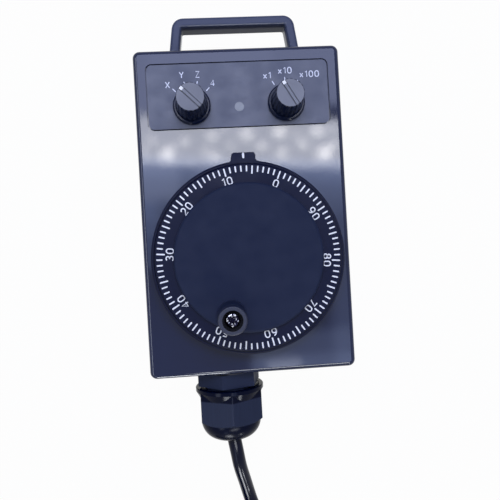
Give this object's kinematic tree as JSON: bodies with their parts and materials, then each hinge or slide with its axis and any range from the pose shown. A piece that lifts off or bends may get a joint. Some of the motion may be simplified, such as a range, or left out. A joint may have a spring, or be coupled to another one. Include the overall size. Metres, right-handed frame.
{
  "type": "pulse generator handwheel",
  "caption": "Hand-held pulse generator with a handwheel and crank grip, rotary selectors for axis and step size, a hanging handle, and a glanded cable ending in a circular connector.",
  "frame": {"origin": "centre of the case's rear face, on which it lies", "axes": "+X to the right seen from the front, +Y towards the hanging handle, +Z out of the front panel"},
  "size_m": [0.1222, 0.3372, 0.0705],
  "materials": {
    "case_plastic": "moulded, satin to gloss",
    "wheel_plastic": "smooth gloss",
    "knob_plastic": "fine matt",
    "overlay_film": "matt printed film",
    "lens_plastic": "frosted, unlit",
    "seal_rubber": "smooth",
    "cable_jacket": "smooth sheath",
    "steel": "zinc-plated and turned steel",
    "brass": "turned",
    "code_metal": "etched sheet",
    "board": "solder mask",
    "dark_plastic": "moulded",
    "connector_metal": "nickel-plated"
  },
  "bodies": {
    "case": {"front_shell": "case_plastic", "rear_cover": "case_plastic", "case_gasket": "seal_rubber", "cover_screws": "steel", "threaded_inserts": "brass", "control_overlay": "overlay_film", "indicator_lens": "lens_plastic", "indicator_lamp": "lens_plastic", "hanging_handle": "case_plastic", "handle_screws": "steel", "index_flange": "wheel_plastic", "flange_screws": "steel", "flange_nuts": "steel", "encoder_housing": "wheel_plastic", "housing_screws": "steel", "sensor_board": "board", "light_gate": "dark_plastic", "detent_spring": "steel", "terminal_block": "board", "terminal_screws": "steel", "bearing_outer_races": "steel", "axis_switch": "dark_plastic", "multiplier_switch": "dark_plastic", "switch_nuts": "steel", "switch_washers": "steel", "switch_pins": "brass", "switch_board": "board", "gland_body": "case_plastic", "gland_washer": "seal_rubber", "gland_locknut": "case_plastic", "gland_claws": "case_plastic", "gland_seal": "seal_rubber", "gland_dome_nut": "case_plastic", "wires": "cable_jacket", "cable_entry": "cable_jacket", "cable": "cable_jacket", "cable_coil": "cable_jacket", "connector_shell": "connector_metal", "connector_insert": "dark_plastic"},
    "wheel": {"handwheel": "wheel_plastic", "front_disc": "wheel_plastic", "wheel_nuts": "steel", "main_spindle": "steel", "spindle_clip": "steel", "bearing_inner_races": "steel", "detent_wheel": "brass", "code_disc": "code_metal", "crank_shaft": "steel", "crank_screw": "steel"},
    "ball_sets": {"bearing_balls": "steel"},
    "grip": {"crank_grip": "knob_plastic"},
    "axis_selector": {"axis_knob": "knob_plastic", "axis_knob_cap": "overlay_film", "axis_collet": "brass", "axis_shaft": "steel"},
    "multiplier_selector": {"multiplier_knob": "knob_plastic", "multiplier_knob_cap": "overlay_film", "multiplier_collet": "brass", "multiplier_shaft": "steel"},
    "coupling_ring": {"connector_ring": "connector_metal"}
  },
  "joints": [
    {"name": "wheel_spin", "type": "hinge", "parent": "case", "child": "wheel", "pos_m": [0, -0.0204, 0.038], "axis": [0, 0, 1], "continuous": true, "deforming": ["detent_spring"]},
    {"name": "bearing_ball_orbit", "type": "hinge", "parent": "case", "child": "ball_sets", "pos_m": [0, -0.0204, 0.038], "axis": [0, 0, 1], "continuous": true},
    {"name": "crank_grip_spin", "type": "hinge", "parent": "wheel", "child": "grip", "pos_m": [-0.00862, -0.04333, 0.06], "axis": [0, 0, 1], "continuous": true},
    {"name": "axis_selector_turn", "type": "hinge", "parent": "case", "child": "axis_selector", "pos_m": [-0.0205, 0.046, 0.038], "axis": [0, 0, 1], "range_deg": [-90, 0]},
    {"name": "multiplier_selector_turn", "type": "hinge", "parent": "case", "child": "multiplier_selector", "pos_m": [0.0205, 0.046, 0.038], "axis": [0, 0, 1], "range_deg": [-60, 0]},
    {"name": "coupling_ring_turn", "type": "hinge", "parent": "case", "child": "coupling_ring", "pos_m": [0.032, -0.231, 0.011], "axis": [0, 1, 0], "continuous": true}
  ],
  "couplings": [
    {"joint": "bearing_ball_orbit", "follows": "wheel_spin", "ratio": 0.3792}
  ]
}
